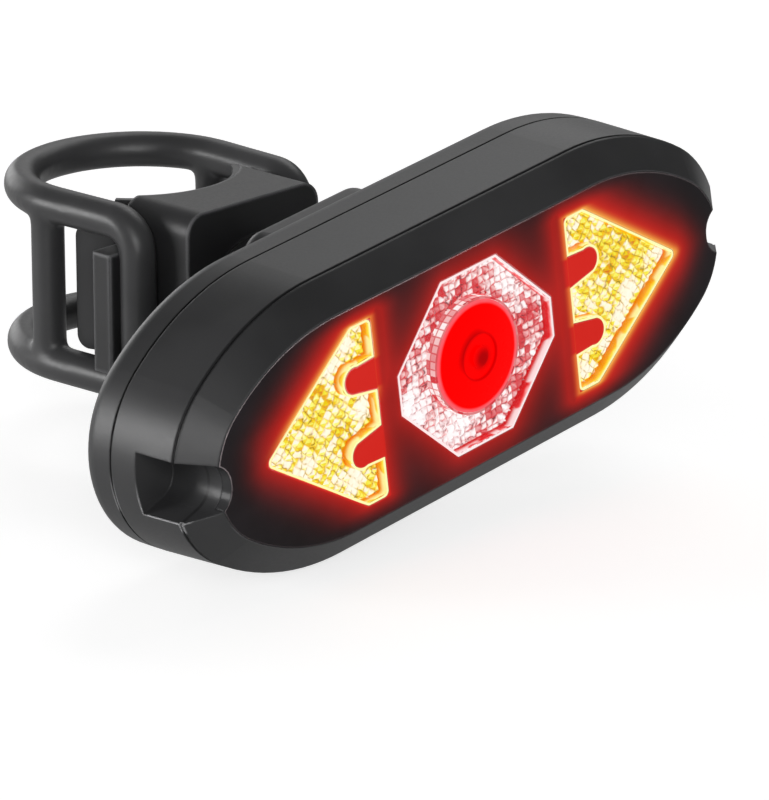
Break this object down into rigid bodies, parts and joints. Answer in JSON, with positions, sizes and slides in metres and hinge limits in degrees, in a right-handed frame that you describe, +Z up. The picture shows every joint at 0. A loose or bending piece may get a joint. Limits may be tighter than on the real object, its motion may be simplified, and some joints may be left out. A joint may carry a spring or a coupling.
{
  "type": "bicycle rear turn signal light",
  "caption": "Long oval rear bicycle lamp with arrow-shaped amber turn lenses either side of a clear hexagonal reflector with a round red brake lens, on a strap-on seat post bracket.",
  "frame": {"origin": "on the seat post's axis, at the height of the swivel and of the lamp's centre", "axes": "+Z up along the seat post, -Y to the rear of the bicycle, the way the lamp shines, +X to the right seen from behind"},
  "size_m": [0.108, 0.085, 0.048],
  "materials": {
    "body_plastic": "satin, fine grain",
    "bracket_plastic": "satin, fine grain",
    "smoked_face": "smoked, glossy",
    "clear_lens": "clear, with small prisms behind",
    "red_lens": "saturated red, glossy",
    "amber_lens": "amber, with small prisms behind",
    "baffle_plastic": "white, light tight",
    "circuit_board": "green solder mask",
    "amber_led": "yellow resin",
    "red_led": "red resin",
    "chip_plastic": "moulded black",
    "battery_foil": "laminated foil pouch",
    "tab_metal": "nickel plated",
    "button_rubber": "soft black",
    "socket_steel": "plain",
    "cover_rubber": "soft black",
    "gasket_rubber": "soft black",
    "screw_steel": "dark zinc plated",
    "washer_plastic": "smooth bearing plastic",
    "pad_rubber": "matt black",
    "strap_rubber": "satin black"
  },
  "bodies": {
    "bracket": {"bracket_body": "bracket_plastic", "saddle_pad": "pad_rubber", "rubber_strap": "strap_rubber", "swivel_screw": "screw_steel", "swivel_nut": "screw_steel", "swivel_washer": "washer_plastic"},
    "clip": {"clip_plate": "body_plastic"},
    "lamp": {"front_housing": "body_plastic", "rear_cover": "body_plastic", "front_face": "smoked_face", "hexagon_reflector": "clear_lens", "brake_lens": "red_lens", "arrow_lens_right": "amber_lens", "arrow_lens_left": "amber_lens", "light_baffle": "baffle_plastic", "led_board": "circuit_board", "radio_receiver": "circuit_board", "amber_leds": "amber_led", "red_leds": "red_led", "control_chip": "chip_plastic", "button_switch": "chip_plastic", "battery": "battery_foil", "battery_tabs": "tab_metal", "usb_socket": "socket_steel", "case_gasket": "gasket_rubber", "case_screws": "screw_steel"},
    "power_button": {"power_button": "button_rubber"},
    "port_cover": {"usb_cover": "cover_rubber"}
  },
  "joints": [
    {"name": "lamp_swivel", "type": "hinge", "parent": "bracket", "child": "clip", "pos_m": [0, -0.0232, 0], "axis": [0, -1, 0], "continuous": true},
    {"name": "clip_slide", "type": "slide", "parent": "clip", "child": "lamp", "axis": [-0.1392, 0, 0.9903], "range_m": [0, 0.026]},
    {"name": "button_press", "type": "slide", "parent": "lamp", "child": "power_button", "axis": [0, -1, 0], "range_m": [0, 0.0008], "stiffness_N_per_m": 2500},
    {"name": "port_cover_hinge", "type": "hinge", "parent": "lamp", "child": "port_cover", "pos_m": [0.00971, -0.05577, -0.01843], "axis": [0, 1, 0], "range_deg": [0, 110]}
  ]
}
